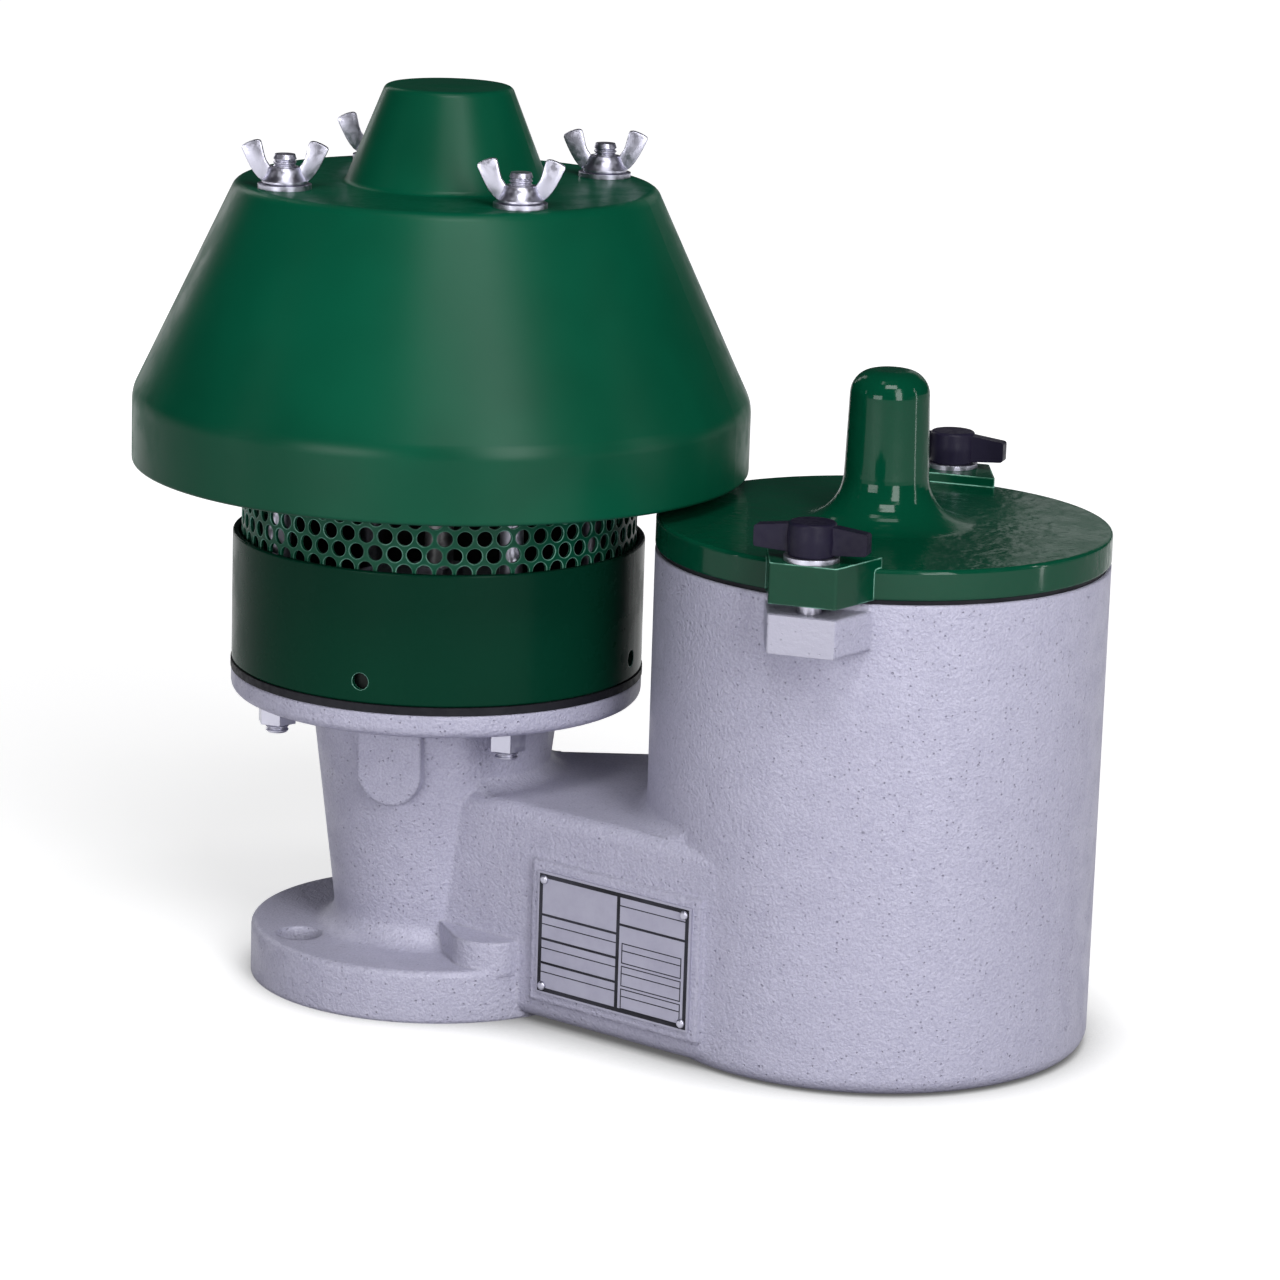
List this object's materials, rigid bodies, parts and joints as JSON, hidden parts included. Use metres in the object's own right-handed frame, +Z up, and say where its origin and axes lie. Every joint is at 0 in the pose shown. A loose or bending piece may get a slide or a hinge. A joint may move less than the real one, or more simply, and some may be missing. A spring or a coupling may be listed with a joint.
{
  "type": "tank breather valve",
  "caption": "End-of-line tank breather valve: flanged cast body, screened pressure vent under a conical hood, and a capped vacuum pot beside it, each closed by a weighted pallet.",
  "frame": {"origin": "centre of the tank port on the tank flange's underside", "axes": "+Z up the neck, +X from the neck to the vacuum pot, -Y the side that carries the nameplate"},
  "size_m": [0.4122, 0.256, 0.377],
  "materials": {
    "cast_body": "blasted sand casting",
    "green_paint": "gloss enamel",
    "zinc": "bright zinc plate",
    "stainless": "turned",
    "black_plastic": "moulded",
    "black_rubber": "matt",
    "bronze": "turned",
    "white_seal": "smooth",
    "plate_metal": "satin with black print"
  },
  "bodies": {
    "body": {"body_casting": "cast_body", "neck_gasket": "black_rubber", "drum": "green_paint", "screen": "green_paint", "hood": "green_paint", "tie_rods": "zinc", "tie_rod_nuts": "zinc", "pressure_seat": "stainless", "hood_bush": "bronze", "cap": "green_paint", "cap_gasket": "black_rubber", "cap_studs": "zinc", "cap_bush": "bronze", "vacuum_seat": "stainless", "inlet_screen": "stainless", "inlet_ring": "zinc", "inlet_screws": "zinc", "nameplate": "plate_metal", "nameplate_screws": "zinc"},
    "pressure_pallet_assembly": {"pressure_pallet": "stainless", "pressure_seal": "white_seal", "pressure_stem": "stainless", "pressure_weight": "zinc", "pressure_stem_nut": "zinc"},
    "vacuum_pallet_assembly": {"vacuum_pallet": "stainless", "vacuum_seal": "white_seal", "vacuum_stem": "stainless", "vacuum_weight": "zinc", "vacuum_stem_nut": "zinc"},
    "hood_washer_front_left": {"hood_washer_front_left": "zinc"},
    "wing_nut_front_left": {"wing_nut_front_left": "zinc"},
    "hood_washer_front_right": {"hood_washer_front_right": "zinc"},
    "wing_nut_front_right": {"wing_nut_front_right": "zinc"},
    "hood_washer_rear_right": {"hood_washer_rear_right": "zinc"},
    "wing_nut_rear_right": {"wing_nut_rear_right": "zinc"},
    "hood_washer_rear_left": {"hood_washer_rear_left": "zinc"},
    "wing_nut_rear_left": {"wing_nut_rear_left": "zinc"},
    "cap_washer_front": {"cap_washer_front": "zinc"},
    "cap_knob_front": {"cap_knob_front": "black_plastic"},
    "cap_washer_rear": {"cap_washer_rear": "zinc"},
    "cap_knob_rear": {"cap_knob_rear": "black_plastic"}
  },
  "joints": [
    {"name": "pressure_pallet_lift", "type": "slide", "parent": "body", "child": "pressure_pallet_assembly", "axis": [0, 0, 1], "range_m": [0, 0.02]},
    {"name": "vacuum_pallet_lift", "type": "slide", "parent": "body", "child": "vacuum_pallet_assembly", "axis": [0, 0, 1], "range_m": [0, 0.018]},
    {"name": "wing_nut_front_left_rise", "type": "slide", "parent": "body", "child": "hood_washer_front_left", "axis": [0, 0, 1], "range_m": [0, 0.0119]},
    {"name": "wing_nut_front_left_turn", "type": "hinge", "parent": "hood_washer_front_left", "child": "wing_nut_front_left", "pos_m": [-0.0507, -0.0507, 0.339], "axis": [0, 0, 1], "range_deg": [0, 2700]},
    {"name": "wing_nut_front_right_rise", "type": "slide", "parent": "body", "child": "hood_washer_front_right", "axis": [0, 0, 1], "range_m": [0, 0.0119]},
    {"name": "wing_nut_front_right_turn", "type": "hinge", "parent": "hood_washer_front_right", "child": "wing_nut_front_right", "pos_m": [0.0507, -0.0507, 0.339], "axis": [0, 0, 1], "range_deg": [0, 2700]},
    {"name": "wing_nut_rear_right_rise", "type": "slide", "parent": "body", "child": "hood_washer_rear_right", "axis": [0, 0, 1], "range_m": [0, 0.0119]},
    {"name": "wing_nut_rear_right_turn", "type": "hinge", "parent": "hood_washer_rear_right", "child": "wing_nut_rear_right", "pos_m": [0.0507, 0.0507, 0.339], "axis": [0, 0, 1], "range_deg": [0, 2700]},
    {"name": "wing_nut_rear_left_rise", "type": "slide", "parent": "body", "child": "hood_washer_rear_left", "axis": [0, 0, 1], "range_m": [0, 0.0119]},
    {"name": "wing_nut_rear_left_turn", "type": "hinge", "parent": "hood_washer_rear_left", "child": "wing_nut_rear_left", "pos_m": [-0.0507, 0.0507, 0.339], "axis": [0, 0, 1], "range_deg": [0, 2700]},
    {"name": "cap_knob_front_rise", "type": "slide", "parent": "body", "child": "cap_washer_front", "axis": [0, 0, 1], "range_m": [0, 0.00912]},
    {"name": "cap_knob_front_turn", "type": "hinge", "parent": "cap_washer_front", "child": "cap_knob_front", "pos_m": [0.192, -0.102, 0.22], "axis": [0, 0, 1], "range_deg": [0, 2070]},
    {"name": "cap_knob_rear_rise", "type": "slide", "parent": "body", "child": "cap_washer_rear", "axis": [0, 0, 1], "range_m": [0, 0.00912]},
    {"name": "cap_knob_rear_turn", "type": "hinge", "parent": "cap_washer_rear", "child": "cap_knob_rear", "pos_m": [0.192, 0.102, 0.22], "axis": [0, 0, 1], "range_deg": [0, 2070]}
  ],
  "couplings": [
    {"joint": "wing_nut_front_left_turn", "follows": "wing_nut_front_left_rise", "rad_per_m": 3957.9},
    {"joint": "wing_nut_front_right_turn", "follows": "wing_nut_front_right_rise", "rad_per_m": 3957.9},
    {"joint": "wing_nut_rear_right_turn", "follows": "wing_nut_rear_right_rise", "rad_per_m": 3957.9},
    {"joint": "wing_nut_rear_left_turn", "follows": "wing_nut_rear_left_rise", "rad_per_m": 3957.9},
    {"joint": "cap_knob_front_turn", "follows": "cap_knob_front_rise", "rad_per_m": 3957.9},
    {"joint": "cap_knob_rear_turn", "follows": "cap_knob_rear_rise", "rad_per_m": 3957.9}
  ]
}
